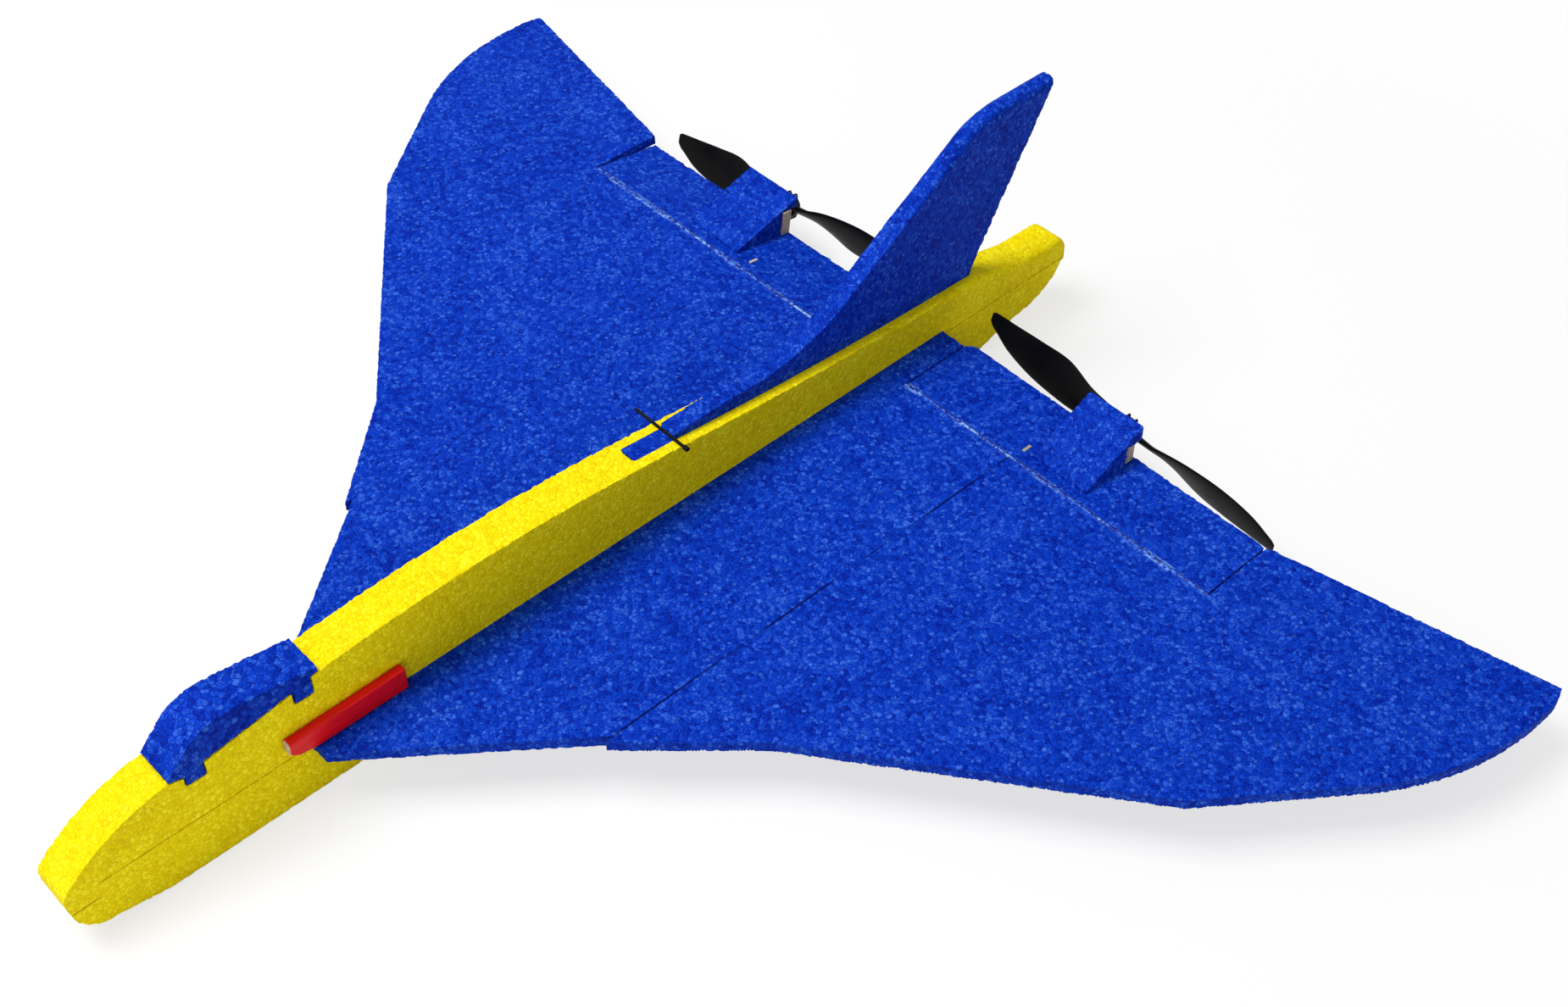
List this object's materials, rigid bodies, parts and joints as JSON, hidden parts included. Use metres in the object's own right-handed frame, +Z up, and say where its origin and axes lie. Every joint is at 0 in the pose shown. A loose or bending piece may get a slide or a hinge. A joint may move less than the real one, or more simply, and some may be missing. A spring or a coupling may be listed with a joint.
{
  "type": "rc flying wing",
  "caption": "Foam delta flying wing with a slab fuselage, lift-off canopy, tall swept fin, and hinged elevons that carry pusher motors and slow-fly propellers.",
  "frame": {"origin": "centre of the keel's flat underside, halfway between nose and tail", "axes": "+Z up, -Y towards the nose, +X towards the port (left) wing tip"},
  "size_m": [0.6744, 0.559, 0.1395],
  "materials": {
    "yellow_foam": "expanded bead foam, yellow, slightly pebbled",
    "blue_foam": "expanded bead foam, royal blue, beads showing as small cells",
    "red_painted_balsa": "balsa strip painted red, with the cut ends bare",
    "plywood": "bare light plywood",
    "black_plastic": "black moulded nylon, satin",
    "black_rubber": "black rubber ring",
    "black_rod": "black carbon rod",
    "carbon_rod": "pultruded carbon rod",
    "white_glue": "dried white glue",
    "white_nylon": "moulded white nylon",
    "battery_wrap": "shrink-wrapped cells",
    "receiver_case": "moulded case",
    "controller_wrap": "shrink-wrapped board",
    "servo_case": "translucent blue moulded case",
    "steel": "plain steel",
    "steel_wire": "spring steel wire",
    "motor_alloy": "turned aluminium",
    "motor_can": "turned can"
  },
  "bodies": {
    "airframe": {"fuselage_front": "yellow_foam", "fuselage_rear": "yellow_foam", "fuselage_keel": "yellow_foam", "wing_spar": "carbon_rod", "fin": "blue_foam", "fin_pin": "black_rod", "battery": "battery_wrap", "receiver": "receiver_case", "intake_strip_port": "red_painted_balsa", "wing_inner_port": "blue_foam", "wing_outer_port": "blue_foam", "hinge_bead_port": "white_glue", "speed_controller_port": "controller_wrap", "servo_port": "servo_case", "intake_strip_starboard": "red_painted_balsa", "wing_inner_starboard": "blue_foam", "wing_outer_starboard": "blue_foam", "hinge_bead_starboard": "white_glue", "speed_controller_starboard": "controller_wrap", "servo_starboard": "servo_case"},
    "canopy": {"canopy": "blue_foam"},
    "elevon_port": {"elevon_port": "blue_foam", "control_horn_port": "white_nylon", "motor_pod_port": "blue_foam", "motor_mount_port": "plywood", "motor_screws_port": "steel", "motor_stator_port": "motor_alloy"},
    "rotor_port": {"motor_bell_port": "motor_can", "motor_shaft_port": "steel", "prop_saver_port": "motor_alloy", "propeller_port": "black_plastic", "prop_ring_port": "black_rubber"},
    "servo_arm_port": {"servo_arm_port": "white_nylon", "arm_screw_port": "steel"},
    "pushrod_port": {"pushrod_port": "steel_wire"},
    "elevon_starboard": {"elevon_starboard": "blue_foam", "control_horn_starboard": "white_nylon", "motor_pod_starboard": "blue_foam", "motor_mount_starboard": "plywood", "motor_screws_starboard": "steel", "motor_stator_starboard": "motor_alloy"},
    "rotor_starboard": {"motor_bell_starboard": "motor_can", "motor_shaft_starboard": "steel", "prop_saver_starboard": "motor_alloy", "propeller_starboard": "black_plastic", "prop_ring_starboard": "black_rubber"},
    "servo_arm_starboard": {"servo_arm_starboard": "white_nylon", "arm_screw_starboard": "steel"},
    "pushrod_starboard": {"pushrod_starboard": "steel_wire"}
  },
  "joints": [
    {"name": "canopy_lift", "type": "slide", "parent": "airframe", "child": "canopy", "axis": [0, 0, 1], "range_m": [0, 0.04]},
    {"name": "elevon_port_hinge", "type": "hinge", "parent": "airframe", "child": "elevon_port", "pos_m": [0.1135, 0.1525, 0.0307], "axis": [1, 0, 0], "range_deg": [-25, 25]},
    {"name": "rotor_port_spin", "type": "hinge", "parent": "elevon_port", "child": "rotor_port", "pos_m": [0.1135, 0.192, 0.0292], "axis": [0, 1, 0], "continuous": true},
    {"name": "servo_arm_port_turn", "type": "hinge", "parent": "airframe", "child": "servo_arm_port", "pos_m": [0.092, 0.0925, 0.02075], "axis": [1, 0, 0], "range_deg": [-26, 26]},
    {"name": "pushrod_port_pivot", "type": "hinge", "parent": "servo_arm_port", "child": "pushrod_port", "pos_m": [0.092, 0.0925, 0.00675], "axis": [1, 0, 0], "range_deg": [-26, 26]},
    {"name": "elevon_starboard_hinge", "type": "hinge", "parent": "airframe", "child": "elevon_starboard", "pos_m": [-0.1135, 0.1525, 0.0307], "axis": [1, 0, 0], "range_deg": [-17.5, 32.5]},
    {"name": "rotor_starboard_spin", "type": "hinge", "parent": "elevon_starboard", "child": "rotor_starboard", "pos_m": [-0.116, 0.19449, 0.02789], "axis": [0, 0.9914, -0.1305], "continuous": true},
    {"name": "servo_arm_starboard_turn", "type": "hinge", "parent": "airframe", "child": "servo_arm_starboard", "pos_m": [-0.092, 0.0925, 0.02075], "axis": [1, 0, 0], "range_deg": [-18.5, 33.5]},
    {"name": "pushrod_starboard_pivot", "type": "hinge", "parent": "servo_arm_starboard", "child": "pushrod_starboard", "pos_m": [-0.092, 0.09067, 0.00687], "axis": [1, 0, 0], "range_deg": [-33.5, 18.5]}
  ],
  "couplings": [
    {"joint": "servo_arm_port_turn", "follows": "elevon_port_hinge", "ratio": 1},
    {"joint": "pushrod_port_pivot", "follows": "elevon_port_hinge", "ratio": -1},
    {"joint": "servo_arm_starboard_turn", "follows": "elevon_starboard_hinge", "ratio": 1},
    {"joint": "pushrod_starboard_pivot", "follows": "elevon_starboard_hinge", "ratio": -1}
  ]
}
